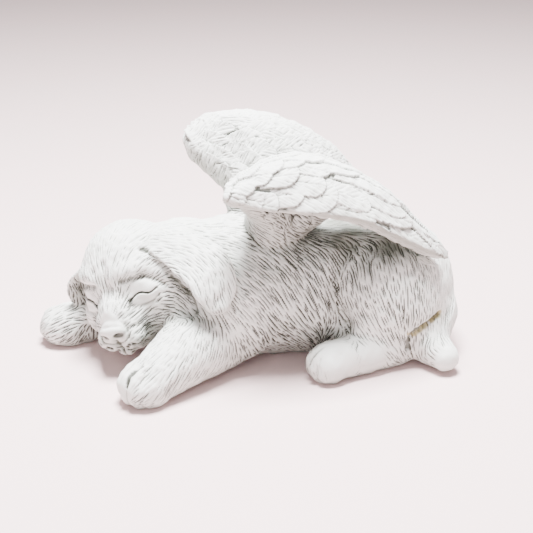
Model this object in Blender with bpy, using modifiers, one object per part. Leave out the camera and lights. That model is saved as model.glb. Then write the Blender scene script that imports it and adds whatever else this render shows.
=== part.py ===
"""Sleeping puppy with angel wings, a small pet memorial cast in one piece of resin stone.

The puppy lies flat on its belly and looks along -Y. Its left side is at +X, and its head is
turned to that side, over the near foreleg. The pose is written on a grid whose step is a share
of the statue's length, so that the whole figure follows that one size.
"""
import math

import bmesh
import bpy
import numpy as np
from mathutils import Matrix, Vector
from mathutils.kdtree import KDTree

LENGTH = 0.240
GRID_STEPS = 240
STEP = LENGTH / GRID_STEPS
TRIANGLES = 9400

# The soft body is blended on a coarse skin, and the finished figure is carved on a finer one.
SOFT_SKIN = 2.2 * STEP
SOFT_ROUNDS = 13
CARVED_SKIN = 1.25 * STEP
CARVED_ROUNDS = 2

# Torso, haunches and neck: centre and half sizes of each mass.
TORSO = {
    "chest": ((0, -14, 37), (39, 42, 42)),
    "ribs": ((2, 5, 36), (40, 40, 40.5)),
    "loin": ((6, 28, 34.5), (39, 48, 39)),
    "waist": ((12, 49, 35), (38, 38, 39)),
    "rump": ((18, 70, 36), (38, 39, 41)),
    "neck": ((-2, -45, 48), (27, 34, 31)),
    "near neck": ((7, -50, 43), (24, 26, 27)),
    "near shoulder": ((22, -22, 34), (25, 30, 33)),
    "far shoulder": ((-22, -24, 34), (23, 30, 32)),
    "near thigh": ((42, 65, 32), (19, 30, 35)),
    "far thigh": ((-8, 64, 30), (19, 31, 32)),
}

# Limbs and tail: the joints along each, with the limb's radius there.
LIMBS = {
    "near foreleg": [((24, -29, 20), 21), ((41, -53, 18), 18.5), ((54, -71, 13), 14)],
    "far foreleg": [((-28, -42, 20), 19), ((-31, -76, 16), 15), ((-29, -100, 12), 13.5)],
    "near hind foot": [((46, 66, 11), 13), ((54, 36, 10), 11.5), ((56, 24, 10), 11.5)],
    "far hind foot": [((-18, 66, 10), 12), ((-24, 40, 10), 11), ((-25, 32, 10), 11)],
    "tail": [((22, 94, 30), 14), ((37, 94, 24), 13), ((51, 83, 12), 11.5), ((66, 88, 9), 8.5)],
}

# Paws: centre, half sizes and the heading of the toes, in degrees from -Y towards +X.
PAWS = {
    "near paw": ((56, -77, 10), (15.5, 17, 13), 36),
    "far paw": ((-29, -110, 10), (15.5, 17, 13), -10),
    "near hind toes": ((57, 22, 9), (13, 12, 11.5), 8),
    "far hind toes": ((-25, 31, 9), (12, 12, 11), -6),
}
TOE_GROOVES = (-0.5, 0, 0.5)
TOE_GROOVE_DEPTH = 2.2
TOE_GROOVE_WIDTH = 1.4
TOE_REACH = 1.5

# Folds: the path of each, its width and its depth.
CREASES = {
    "front of near thigh": ([(31, 42, 68), (38, 34, 56), (42, 31, 46), (44, 32, 38), (46, 37, 28)], 4.0, 3.6),
    "near tail slit": ([(53, 89, 30), (58, 79, 26.5), (59.5, 70, 21.5), (60.5, 69, 13)], 2.0, 2.4),
    "front of far thigh": ([(-24, 36, 50), (-28, 34, 34), (-28, 38, 20)], 4.5, 2.5),
}

# Head: where the skull's centre is, and how far the head turns, nods and leans to its left.
HEAD_CENTRE = (-11, -73, 47)
HEAD_TURN = 59
HEAD_NOD = 15
HEAD_LEAN = 19

# Masses of the head: centre, to the puppy's left, forward and up, and half sizes.
SKULL = {
    "skull": ((0, -1, 0), (29, 30, 29.5)),
    "left cheek": ((14.5, 14, -13), (15, 17, 15.5)),
    "right cheek": ((-14.5, 14, -13), (15, 17, 15.5)),
    "muzzle": ((0, 25, -13), (17, 19, 14)),
    "bridge": ((0, 28, -5), (11.5, 14, 10)),
    "jaw": ((2, 22, -22), (15, 20, 11)),
}
FACE = {
    "nose": ((0, 41, -9.8), (8.4, 5.6, 5.9)),
    "left lip": ((6, 35.5, -17.5), (8.6, 9, 8.2)),
    "right lip": ((-6, 35.5, -17.5), (8.6, 9, 8.2)),
    "chin": ((0, 35, -25.5), (6.5, 7.5, 4.8)),
}

# Closed eyes and brows, on the head's face: places to the side and up.
BROW_CENTRE = (16, 13.5)
BROW_HALF_SIZE = (11, 4.5)
BROW_RISE = 1.9
BROW_CREASE = [(8.8, 10.1), (12.7, 9.8), (17, 8.6), (21.7, 7.4), (27.2, 5.5), (31.7, 2.7)]
BROW_CREASE_WIDTH = 1.5
BROW_CREASE_DEPTH = 1.6
LOWER_LID = [(10.3, -1.8), (12.4, -3.8), (17.4, -5.2), (23.5, -4.0), (27.5, -1.6)]
LOWER_LID_WIDTH = 1.5
LOWER_LID_DEPTH = 0.8
EYE_CENTRE = (19.5, 1.5)
EYE_HALF_SIZE = (10.5, 6.2)
LID_RISE = 1.9
EYE_INNER = (11.2, -1.0)
EYE_OUTER = (28.0, 2.8)
EYE_WAVE = 1.1
EYE_SLIT_WIDTH = 1.2
EYE_SLIT_DEPTH = 1.4
FACE_REACH = 56
FURROW_TOP = 26
FURROW_FOOT = 4
FURROW_WIDTH = 2.2
FURROW_DEPTH = 1.1
LIP_SPLIT_WIDTH = 1.0
LIP_SPLIT_DEPTH = 1.3
NOSTRIL = (4.0, -11.8)
NOSTRIL_WIDTH = 1.4
NOSTRIL_DEPTH = 1.8

# Ears: joints down the middle of each flap, with half width, and the flap's half thickness.
NEAR_EAR = [((4, -65, 70), 9), ((21, -51, 70), 13), ((39, -39, 63), 14), ((48, -36, 46), 11)]
FAR_EAR = [((-26, -84, 56), 8), ((-29, -95, 45), 12), ((-30, -99, 35), 12), ((-28, -96, 24), 10)]
EAR_HALF_THICKNESS = 2.6
EAR_SLICES = 26
EAR_SLICE_HALF_LENGTH = 4
EAR_ROUND_FROM = 0.78
EAR_TIP_WIDTH = 0.6

# Wings: three rails from the wrist to the tip, drawn for the left wing.
INNER_RAIL = [(9, -4, 88), (9, 14, 99), (13, 36, 99), (24, 57, 91), (37, 75, 78), (49, 90, 64)]
CREST_RAIL = [(35, -24, 111), (37, -6, 122), (37, 17, 122), (40, 40, 113), (45, 62, 98), (51, 92, 66)]
OUTER_RAIL = [(50, -33, 107), (57, -12, 101), (60, 12, 98), (60, 42, 91), (58, 68, 76), (53, 93, 62)]
WING_THICKNESS_FRONT = 13
WING_THICKNESS_TIP = 4.5
WRIST_SHARE = 0.22
INNER_EDGE_FULLNESS = 0.35
OUTER_EDGE_DEPTH = 5.5
BLADE_GRID = (44, 20)
WING_ARM = [((13, 2, 74), 15), ((22, -1, 90), 12), ((35, -17, 103), 8), ((47, -27, 106), 5)]
WING_WEB = [((14, 8, 78), 14), ((23, 29, 93), 11), ((31, 50, 96), 6)]
FAR_WING_LIFT = 7.5
FAR_WING_HINGE = 75
FAR_WING_AHEAD = 3
FAR_WRIST_SWELL = 9
FAR_WRIST = (33, 5)
FAR_WRIST_SPREAD = (17, 25)
FAR_CORNER_PULL = (-7, 8, -2)
FAR_CORNER_REACH = 13

# Feathers: tiers across the wing, the first feather's length and how the next ones grow.
FEATHER_TIERS = 6
FIRST_FEATHER = 10
FEATHER_GROWTH = 1.24
FEATHER_OVERLAP = 1.7
FEATHER_RELIEF = 2.0
FEATHER_LEAN = 0.35
FEATHER_HALF_WIDTH = 0.62
FEATHER_ROUND_FROM = 0.72
WING_SAMPLES = (90, 48)
WING_SKIN_MARGIN = 1.6

# The underside is flat wherever the skin comes this close to the ground.
REST_MARGIN = 0.3


def clear_scene():
    """Remove whatever objects the file opened with."""
    for item in list(bpy.data.objects):
        bpy.data.objects.remove(item, do_unlink=True)


def new_collection(name):
    """A collection of its own for the statue."""
    group = bpy.data.collections.new(name)
    bpy.context.scene.collection.children.link(group)
    return group


def add_ball(form, centre, radii, turn=None):
    """Add a closed ball, stretched to its half sizes and turned, to a form."""
    turn = turn or Matrix.Identity(3)
    place = Matrix.Translation(Vector(centre) * STEP) @ turn.to_4x4()
    stretch = Matrix.Diagonal((*(Vector(radii) * STEP), 1))
    bmesh.ops.create_icosphere(form, subdivisions=3, radius=1, matrix=place @ stretch)


def add_limb(form, joints):
    """Add a tapered limb, one hull of two balls for each stretch between its joints."""
    for (start, start_radius), (end, end_radius) in zip(joints, joints[1:]):
        stretch = bmesh.new()
        add_ball(stretch, start, (start_radius,) * 3)
        add_ball(stretch, end, (end_radius,) * 3)
        hull = bmesh.ops.convex_hull(stretch, input=stretch.verts)
        inside = [item for item in hull["geom_interior"] if isinstance(item, bmesh.types.BMVert)]
        bmesh.ops.delete(stretch, geom=inside, context="VERTS")
        piece = bpy.data.meshes.new("stretch")
        stretch.to_mesh(piece)
        stretch.free()
        form.from_mesh(piece)
        bpy.data.meshes.remove(piece)


def through(points, share):
    """A smooth curve through the points, read at a share of its way from 0 to 1."""
    last = len(points) - 1
    place = min(share * last, last - 1e-9)
    first = int(place)
    rest = place - first
    p0, p1, p2, p3 = (np.array(points[min(max(first + k, 0), last)], float) for k in (-1, 0, 1, 2))
    bend = 2 * p0 - 5 * p1 + 4 * p2 - p3
    twist = 3 * p1 - p0 - 3 * p2 + p3
    return 0.5 * (2 * p1 + (p2 - p0) * rest + bend * rest ** 2 + twist * rest ** 3)


def head_frame():
    """The head's turn from the body's own axes: x to the left, -y forward and z up."""
    turned = Matrix.Rotation(math.radians(HEAD_TURN), 3, "Z")
    nodded = Matrix.Rotation(math.radians(HEAD_NOD), 3, "X")
    leaned = Matrix.Rotation(math.radians(-HEAD_LEAN), 3, "Y")
    return turned @ nodded @ leaned


def add_head(form, masses):
    """Add the named masses of the head, from its own frame, to a form."""
    frame = head_frame()
    for (aside, ahead, above), radii in masses.values():
        place = Vector(HEAD_CENTRE) + frame @ Vector((aside, -ahead, above))
        add_ball(form, place, radii, frame)


def add_flap(form, joints, side):
    """Add an ear: flattened balls strung along the middle of the flap."""
    centres = [centre for centre, _ in joints]
    widths = [(width, 0, 0) for _, width in joints]
    for index in range(EAR_SLICES):
        share = index / (EAR_SLICES - 1)
        along = Vector(through(centres, min(share + 0.02, 1)) - through(centres, max(share - 0.02, 0)))
        along.normalize()
        across = Vector(side)
        across = (across - across.dot(along) * along).normalized()
        out = along.cross(across)
        turn = Matrix((across, along, out)).transposed()
        past = max(share - EAR_ROUND_FROM, 0) / (1 - EAR_ROUND_FROM)
        rounding = math.sqrt(1 - (1 - EAR_TIP_WIDTH ** 2) * past ** 2)
        radii = (through(widths, share)[0] * rounding, EAR_SLICE_HALF_LENGTH, EAR_HALF_THICKNESS)
        add_ball(form, through(centres, share), radii, turn)


def as_object(form, name, group):
    """Make an object of a form that was built up."""
    mesh = bpy.data.meshes.new(name)
    form.to_mesh(mesh)
    form.free()
    item = bpy.data.objects.new(name, mesh)
    group.objects.link(item)
    return item


def settle(item):
    """Replace an object's mesh by its evaluated one, and drop its modifiers."""
    graph = bpy.context.evaluated_depsgraph_get()
    finished = bpy.data.meshes.new_from_object(item.evaluated_get(graph))
    item.modifiers.clear()
    item.data = finished
    return item


def reskin(item, skin, rounds):
    """Fuse overlapping forms in one even skin, and soften it."""
    remesh = item.modifiers.new("skin", "REMESH")
    remesh.mode = "VOXEL"
    remesh.voxel_size = skin
    remesh.use_smooth_shade = True
    soften = item.modifiers.new("soften", "SMOOTH")
    soften.factor = 0.5
    soften.iterations = round(rounds)
    return settle(item)


def soft_body(group):
    """The torso, limbs and head masses, blended softly where they meet."""
    form = bmesh.new()
    for centre, radii in TORSO.values():
        add_ball(form, centre, radii)
    for joints in LIMBS.values():
        add_limb(form, joints)
    for centre, radii, heading in PAWS.values():
        add_ball(form, centre, radii, Matrix.Rotation(math.radians(heading), 3, "Z"))
    add_head(form, SKULL)
    return reskin(as_object(form, "soft body", group), SOFT_SKIN, SOFT_ROUNDS)


def rail_points(shares):
    """The three rails of the left wing, read at the given shares of its length."""
    rails = (INNER_RAIL, CREST_RAIL, OUTER_RAIL)
    return [np.array([through(rail, share) for share in shares]) for rail in rails]


def blade(along, across):
    """Points of the left wing's top face, on a grid of shares along and across it."""
    inner, crest, outer = (rail[:, None, :] for rail in rail_points(along))
    t = np.asarray(across)[None, :, None]
    return inner * (1 - t) * (1 - 2 * t) + crest * 4 * t * (1 - t) + outer * t * (2 * t - 1)


def side_of(points, side):
    """Left wing points, or with side -1 the right wing's, whose front is raised and rounder."""
    points = np.array(points, float)
    if side > 0:
        return points
    corner = np.exp(-((points - OUTER_RAIL[0]) ** 2).sum(axis=-1) / FAR_CORNER_REACH ** 2)
    points = points + corner[..., None] * np.array(FAR_CORNER_PULL)
    outward = points[..., 0] / OUTER_RAIL[0][0]
    raised = FAR_WING_LIFT * outward * (1 - points[..., 1] / FAR_WING_HINGE)
    beside = np.exp(-((points[..., 0] - FAR_WRIST[0]) / FAR_WRIST_SPREAD[0]) ** 2)
    swell = FAR_WRIST_SWELL * beside * np.clip((FAR_WRIST[1] - points[..., 1]) / FAR_WRIST_SPREAD[1], 0, 1)
    ahead = points[..., 1] - FAR_WING_AHEAD - swell
    return np.stack([-points[..., 0], ahead, points[..., 2] + raised], axis=-1)


def wing_thickness(along, across):
    """Thickness of the blade: fullest at the wrist, and deeper at both long edges."""
    front = np.exp(-(np.asarray(along)[:, None] / WRIST_SHARE) ** 2)
    thin = WING_THICKNESS_TIP * (1 + INNER_EDGE_FULLNESS * (1 - np.asarray(across)[None, :]))
    behind_wrist = np.clip((np.asarray(along)[:, None] - 0.15) / 0.3, 0, 1)
    hem = OUTER_EDGE_DEPTH * behind_wrist * np.clip((np.asarray(across)[None, :] - 0.8) / 0.2, 0, 1)
    return thin + hem + (WING_THICKNESS_FRONT - WING_THICKNESS_TIP) * front


def grid_normals(points):
    """Upward normals of a grid of points."""
    down_length = np.gradient(points, axis=0)
    over_width = np.gradient(points, axis=1)
    normals = np.cross(down_length, over_width)
    normals /= np.linalg.norm(normals, axis=2, keepdims=True)
    return normals * np.where(normals[..., 2:] < 0, -1, 1)


def wing_blade(side, group):
    """One wing's blade: a grid bent over the rails, then given its thickness below."""
    rows, columns = BLADE_GRID
    along = np.linspace(0, 1, rows)
    across = np.linspace(0, 1, columns)
    top = side_of(blade(along, across), side)
    bottom = top - grid_normals(top) * wing_thickness(along, across)[..., None]
    form = bmesh.new()
    bmesh.ops.create_grid(form, x_segments=rows - 1, y_segments=columns - 1, size=1)
    bmesh.ops.solidify(form, geom=form.faces[:], thickness=0.5)
    for vert in form.verts:
        i = round((vert.co.x + 1) / 2 * (rows - 1))
        j = round((vert.co.y + 1) / 2 * (columns - 1))
        sheet = top if vert.co.z > -0.1 else bottom
        vert.co = Vector(sheet[i, j]) * STEP
    bmesh.ops.recalc_face_normals(form, faces=form.faces)
    return as_object(form, "blade", group)


def join(items):
    """Join objects into the first one."""
    form = bmesh.new()
    for item in items:
        form.from_mesh(item.data)
    form.to_mesh(items[0].data)
    form.free()
    for item in items[1:]:
        bpy.data.objects.remove(item, do_unlink=True)
    return items[0]


def crisp_forms(group):
    """Face, ears and wing stems, which keep their edges."""
    form = bmesh.new()
    add_head(form, FACE)
    add_flap(form, NEAR_EAR, (-0.35, 0.75, 0.55))
    add_flap(form, FAR_EAR, (0.45, -0.75, -0.45))
    for side in (1, -1):
        for joints in (WING_ARM, WING_WEB):
            places = side_of([centre for centre, _ in joints], side)
            add_limb(form, [(tuple(place), radius) for place, (_, radius) in zip(places, joints)])
    return as_object(form, "crisp forms", group)


def groove(distance, width, depth):
    """Depth of a soft groove at a distance from its line."""
    return depth * np.exp(-(distance / width) ** 2)


def ramp(value, low, high):
    """Smooth step from 0 at low to 1 at high."""
    share = np.clip((value - low) / (high - low), 0, 1)
    return share * share * (3 - 2 * share)


def path_distance(points, path):
    """Distance of each place from the smooth curve through a path."""
    line = np.array([through(path, share) for share in np.linspace(0, 1, 24)])
    nearest = np.full(len(points), np.inf)
    for start, end in zip(line, line[1:]):
        along = end - start
        share = np.clip((points - start) @ along / (along @ along), 0, 1)
        nearest = np.minimum(nearest, np.linalg.norm(points - start - share[:, None] * along, axis=1))
    return nearest


def toe_relief(points):
    """Three grooves between the four toes of each paw."""
    relief = np.zeros(len(points))
    for centre, radii, heading in PAWS.values():
        angle = math.radians(heading)
        offset = points - np.array(centre)
        aside = offset[:, 0] * math.cos(angle) + offset[:, 1] * math.sin(angle)
        ahead = offset[:, 0] * math.sin(angle) - offset[:, 1] * math.cos(angle)
        reach = np.linalg.norm(offset / np.array(radii), axis=1) < TOE_REACH
        front = ramp(ahead, -1, 6) * reach
        for line in TOE_GROOVES:
            lean = line * radii[0] * (0.75 + 0.25 * ahead / radii[1])
            relief -= groove(aside - lean, TOE_GROOVE_WIDTH, TOE_GROOVE_DEPTH) * front
    return relief


def face_relief(points):
    """Closed eyes, furrow, nostrils and the split of the lips."""
    frame = np.array(head_frame())
    local = (points - np.array(HEAD_CENTRE)) @ frame
    aside, ahead, above = local[:, 0], -local[:, 1], local[:, 2]
    near = (np.linalg.norm(local, axis=1) < FACE_REACH) * ramp(ahead, 8, 14)
    between = ramp(above, FURROW_FOOT, FURROW_FOOT + 4) * (1 - ramp(above, FURROW_TOP - 6, FURROW_TOP))
    relief = -groove(aside, FURROW_WIDTH, FURROW_DEPTH) * between
    across = (np.abs(aside) - EYE_INNER[0]) / (EYE_OUTER[0] - EYE_INNER[0])
    slit = EYE_INNER[1] + across * (EYE_OUTER[1] - EYE_INNER[1]) + EYE_WAVE * np.sin(2 * math.pi * across)
    open_part = ramp(across, -0.1, 0.05) * (1 - ramp(across, 0.95, 1.1))
    relief -= groove(above - slit, EYE_SLIT_WIDTH, EYE_SLIT_DEPTH) * open_part
    brow_reach = np.hypot((np.abs(aside) - BROW_CENTRE[0]) / BROW_HALF_SIZE[0],
                          (above - BROW_CENTRE[1]) / BROW_HALF_SIZE[1])
    relief += BROW_RISE * np.exp(-brow_reach ** 2)
    lid_reach = np.hypot((np.abs(aside) - EYE_CENTRE[0]) / EYE_HALF_SIZE[0],
                         (above - EYE_CENTRE[1]) / EYE_HALF_SIZE[1])
    relief += LID_RISE * np.clip(1 - lid_reach ** 2, 0, 1)
    drawn = np.stack([np.abs(aside), above], axis=1)
    relief -= groove(path_distance(drawn, BROW_CREASE), BROW_CREASE_WIDTH, BROW_CREASE_DEPTH)
    relief -= groove(path_distance(drawn, LOWER_LID), LOWER_LID_WIDTH, LOWER_LID_DEPTH)
    below_nose = ramp(ahead, 36, 39) * (1 - ramp(above, -15.5, -14))
    relief -= groove(aside, LIP_SPLIT_WIDTH, LIP_SPLIT_DEPTH) * below_nose
    nostril = np.hypot(np.abs(aside) - NOSTRIL[0], above - NOSTRIL[1])
    relief -= groove(nostril, NOSTRIL_WIDTH, NOSTRIL_DEPTH) * ramp(ahead, 41, 43)
    return relief * near


def crease_relief(points):
    """Folds between the masses of the body, each along its own short path."""
    relief = np.zeros(len(points))
    for path, width, depth in CREASES.values():
        relief = np.minimum(relief, -groove(path_distance(points, path), width, depth))
    return relief


def feather_rows():
    """Every feather of a wing: its tier's middle, where its root starts and its length."""
    rows = []
    for tier in range(FEATHER_TIERS):
        middle = (tier + 0.55) / FEATHER_TIERS
        start = -FIRST_FEATHER * (0.35 + 0.5 * (tier % 2))
        length = FIRST_FEATHER
        while start < wing_length():
            rows.append((middle, start, length * FEATHER_OVERLAP))
            start += length
            length *= FEATHER_GROWTH
    return rows


def wing_length():
    """Length of a wing along its crest."""
    crest = rail_points(np.linspace(0, 1, 20))[1]
    return float(np.linalg.norm(np.diff(crest, axis=0), axis=1).sum())


def feather_relief(along, across, width):
    """Height of the overlapping feathers at places along and across the wing."""
    height = np.zeros(len(along))
    for middle, start, length in feather_rows():
        half_width = FEATHER_HALF_WIDTH * width / FEATHER_TIERS
        aside = (across - middle) * width
        ahead = along - start + FEATHER_LEAN * aside
        share = ahead / length
        past = np.clip((share - FEATHER_ROUND_FROM) / (1 - FEATHER_ROUND_FROM), 0, 1)
        outline = np.sqrt(1 - past ** 2)
        inside = (share > 0) * (share < 1) * (np.abs(aside) < half_width * outline)
        slope = 0.15 + 0.5 * share + 0.35 * (aside / half_width + 1) / 2
        height = np.maximum(height, inside * slope)
    return FEATHER_RELIEF * (height - 0.5)


def wing_relief(points, normals):
    """Feather tiers on both faces of both wings."""
    along = np.linspace(0, 1, WING_SAMPLES[0])
    across = np.linspace(0, 1, WING_SAMPLES[1])
    length = wing_length()
    relief = np.zeros(len(points))
    for side in (1, -1):
        top = side_of(blade(along, across), side)
        upward = grid_normals(top).reshape(-1, 3)
        thickness = wing_thickness(along, across).reshape(-1)
        widths = np.linalg.norm(np.diff(top, axis=1), axis=2).sum(axis=1)
        middle = top.reshape(-1, 3) - upward * thickness[:, None] / 2
        tree = KDTree(len(middle))
        for index, place in enumerate(middle):
            tree.insert(place, index)
        tree.balance()
        reach = np.flatnonzero((points[:, 0] * side > 6) & (points[:, 2] > 50) & (points[:, 1] > -45))
        found = [tree.find(points[index]) for index in reach]
        nearest = np.array([hit[1] for hit in found])
        distance = np.array([hit[2] for hit in found])
        on_wing = distance < thickness[nearest] / 2 + WING_SKIN_MARGIN
        row, column = np.divmod(nearest, WING_SAMPLES[1])
        gap = points[reach] - middle[nearest]
        down = np.gradient(top, axis=0).reshape(-1, 3)[nearest]
        over = np.gradient(top, axis=1).reshape(-1, 3)[nearest]
        row = row + np.clip((gap * down).sum(1) / (down * down).sum(1), -0.6, 0.6)
        column = column + np.clip((gap * over).sum(1) / (over * over).sum(1), -0.6, 0.6)
        share = row / (WING_SAMPLES[0] - 1)
        width = np.interp(share, along, widths)
        height = feather_relief(share * length, column / (WING_SAMPLES[1] - 1), width)
        facing = np.abs((normals[reach] * upward[nearest]).sum(1))
        relief[reach] += height * on_wing * ramp(facing, 0.2, 0.6)
    return relief


def carve(item):
    """Push the skin in and out along its normals for the carved details."""
    mesh = item.data
    count = len(mesh.vertices)
    points = np.empty(count * 3)
    mesh.vertices.foreach_get("co", points)
    points = points.reshape(-1, 3) / STEP
    normals = np.array([vert.normal for vert in mesh.vertices])
    relief = toe_relief(points) + face_relief(points) + crease_relief(points)
    relief += wing_relief(points, normals)
    points = points + normals * relief[:, None]
    points[:, 2] = np.maximum(points[:, 2], 0)
    mesh.vertices.foreach_set("co", (points * STEP).ravel())
    mesh.update()


def thin_out(item):
    """Reduce the skin to the wanted number of triangles."""
    count = sum(len(face.vertices) - 2 for face in item.data.polygons)
    reduce = item.modifiers.new("reduce", "DECIMATE")
    reduce.ratio = TRIANGLES / count
    reduce.use_collapse_triangulate = True
    settle(item)
    for vert in item.data.vertices:
        if vert.co.z < REST_MARGIN * STEP:
            vert.co.z = 0


def cast_resin():
    """Matt off-white resin stone."""
    material = bpy.data.materials.new("off-white resin stone")
    material.use_nodes = True
    shader = material.node_tree.nodes["Principled BSDF"]
    shader.inputs["Base Color"].default_value = (0.80, 0.80, 0.77, 1)
    shader.inputs["Roughness"].default_value = 0.72
    shader.inputs["Metallic"].default_value = 0
    return material


def winged_puppy():
    """The whole statue, as one casting."""
    group = new_collection("pet memorial statue")
    body = soft_body(group)
    blades = [wing_blade(side, group) for side in (1, -1)]
    statue = join([body, crisp_forms(group), *blades])
    statue.name = "winged_puppy"
    reskin(statue, CARVED_SKIN, CARVED_ROUNDS)
    carve(statue)
    thin_out(statue)
    statue.data.materials.clear()
    statue.data.materials.append(cast_resin())
    statue.data.shade_smooth()
    return statue


clear_scene()
winged_puppy()
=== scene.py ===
"""Sleeping puppy with angel wings, a small pet memorial cast in one piece of resin stone."""

import math
from itertools import product

import bpy
import numpy as np
from mathutils import Matrix, Vector
from mathutils.bvhtree import BVHTree
from mathutils.kdtree import KDTree


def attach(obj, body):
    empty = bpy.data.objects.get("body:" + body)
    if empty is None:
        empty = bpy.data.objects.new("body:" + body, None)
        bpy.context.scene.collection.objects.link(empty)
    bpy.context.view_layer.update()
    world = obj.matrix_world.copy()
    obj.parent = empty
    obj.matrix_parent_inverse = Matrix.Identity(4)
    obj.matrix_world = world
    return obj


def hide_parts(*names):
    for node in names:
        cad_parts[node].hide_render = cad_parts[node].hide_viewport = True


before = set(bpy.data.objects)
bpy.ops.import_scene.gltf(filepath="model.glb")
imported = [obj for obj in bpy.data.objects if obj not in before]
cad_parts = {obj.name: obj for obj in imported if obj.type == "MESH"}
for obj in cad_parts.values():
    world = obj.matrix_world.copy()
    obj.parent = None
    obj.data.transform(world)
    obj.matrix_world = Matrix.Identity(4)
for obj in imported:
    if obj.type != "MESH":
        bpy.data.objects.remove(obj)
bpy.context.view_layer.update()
bpy.ops.object.select_all(action="DESELECT")

# Torso, haunches, legs, paws and tail. They are one soft mass of cast resin stone, blended where
# they meet, with the belly, paws and hind feet lying flat on the ground.
GRID_LENGTH = 0.240
GRID_STEPS = 240
STEP = GRID_LENGTH / GRID_STEPS
BALL_DETAIL = 4
BODY_SKIN = 2.2 * STEP
BODY_ROUNDS = 13
SOFTENING = 0.5
TORSO = {
    "chest": ((0, -14, 37), (39, 42, 42)),
    "ribs": ((2, 5, 36), (40, 40, 40.5)),
    "loin": ((6, 28, 34.5), (39, 48, 39)),
    "waist": ((12, 49, 35), (38, 38, 39)),
    "rump": ((18, 70, 36), (38, 39, 41)),
    "neck": ((-2, -45, 48), (27, 34, 31)),
    "near neck": ((7, -50, 43), (24, 26, 27)),
    "near shoulder": ((22, -22, 34), (25, 30, 33)),
    "far shoulder": ((-22, -24, 34), (23, 30, 32)),
    "near thigh": ((42, 65, 32), (19, 30, 35)),
    "far thigh": ((-8, 64, 30), (19, 31, 32)),
}
LIMBS = {
    "near foreleg": [((24, -29, 20), 21), ((41, -53, 18), 18.5), ((54, -71, 13), 14)],
    "far foreleg": [((-28, -42, 20), 19), ((-31, -76, 16), 15), ((-29, -100, 12), 13.5)],
    "near hind foot": [((46, 66, 11), 13), ((54, 36, 10), 11.5), ((56, 24, 10), 11.5)],
    "far hind foot": [((-18, 66, 10), 12), ((-24, 40, 10), 11), ((-25, 32, 10), 11)],
    "tail": [((22, 94, 30), 14), ((37, 94, 24), 13), ((51, 83, 12), 11.5), ((66, 88, 9), 8.5)],
}
PAWS = {
    "near paw": ((56, -77, 10), (15.5, 17, 13), 36),
    "far paw": ((-29, -110, 10), (15.5, 17, 13), -10),
    "near hind toes": ((57, 22, 9), (13, 12, 11.5), 8),
    "far hind toes": ((-25, 31, 9), (12, 12, 11), -6),
}
HEAD_CENTRE = np.array((-11, -73, 47))
HEAD_TURN = 59
HEAD_PITCH = 15
HEAD_LEAN = -19
HEAD_FRAME = (Matrix.Rotation(math.radians(HEAD_TURN), 3, "Z")
              @ Matrix.Rotation(math.radians(HEAD_PITCH), 3, "X")
              @ Matrix.Rotation(math.radians(HEAD_LEAN), 3, "Y"))
SKULL = {
    "skull": ((0, -1, 0), (29, 30, 29.5)),
    "left cheek": ((14.5, 14, -13), (15, 17, 15.5)),
    "right cheek": ((-14.5, 14, -13), (15, 17, 15.5)),
    "muzzle": ((0, 25, -13), (17, 19, 14)),
    "bridge": ((0, 28, -5), (11.5, 14, 10)),
    "jaw": ((2, 22, -22), (15, 20, 11)),
}


def pick(item):
    """Make an object the only one that the next operator works on."""
    bpy.ops.object.select_all(action="DESELECT")
    item.select_set(True)
    bpy.context.view_layer.objects.active = item


def ball(centre, radii, turn=None):
    """One round mass, stretched to its half sizes and turned."""
    bpy.ops.mesh.primitive_ico_sphere_add(subdivisions=BALL_DETAIL, radius=1)
    mass = bpy.context.object
    turn = turn or Matrix.Identity(3)
    stretch = Matrix.Diagonal((*(Vector(radii) * STEP), 1))
    mass.data.transform(Matrix.Translation(Vector(centre) * STEP) @ turn.to_4x4() @ stretch)
    return mass


def joined(pieces):
    """Join pieces into the first one."""
    bpy.ops.object.select_all(action="DESELECT")
    for piece in pieces:
        piece.select_set(True)
    bpy.context.view_layer.objects.active = pieces[0]
    if len(pieces) > 1:
        bpy.ops.object.join()
    return bpy.context.object


def limb(joints):
    """A tapered limb: one hull of two balls for each stretch between its joints."""
    stretches = []
    for (start, start_radius), (end, end_radius) in zip(joints, joints[1:]):
        stretch = joined([ball(start, (start_radius,) * 3), ball(end, (end_radius,) * 3)])
        bpy.ops.object.mode_set(mode="EDIT")
        bpy.ops.mesh.select_all(action="SELECT")
        bpy.ops.mesh.convex_hull(delete_unused=True, use_existing_faces=False,
                                 join_triangles=False)
        bpy.ops.object.mode_set(mode="OBJECT")
        stretches.append(stretch)
    return joined(stretches)


def head_place(aside, ahead, above):
    """A place of the head's own frame, to its left, forward and up, in the body's frame."""
    return Vector(HEAD_CENTRE) + HEAD_FRAME @ Vector((aside, -ahead, above))


def head_masses(masses):
    """One ball for each mass that is placed in the head's own frame."""
    return [ball(head_place(*centre), radii, HEAD_FRAME) for centre, radii in masses.values()]


def soften(item, factor, rounds):
    """Smooth the surface of an item that is active."""
    smooth = item.modifiers.new("soften", "SMOOTH")
    smooth.factor = factor
    smooth.iterations = rounds
    bpy.ops.object.modifier_apply(modifier=smooth.name)


def fused(piece, skin, rounds, levels=0):
    """Fuse overlapping masses under one even skin, soften it and refine it."""
    pick(piece)
    remesh = piece.modifiers.new("skin", "REMESH")
    remesh.mode = "VOXEL"
    remesh.voxel_size = skin
    remesh.use_smooth_shade = True
    bpy.ops.object.modifier_apply(modifier=remesh.name)
    soften(piece, SOFTENING, rounds)
    if levels:
        refine = piece.modifiers.new("refine", "SUBSURF")
        refine.levels = levels
        refine.render_levels = levels
        bpy.ops.object.modifier_apply(modifier=refine.name)
    return piece


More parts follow.
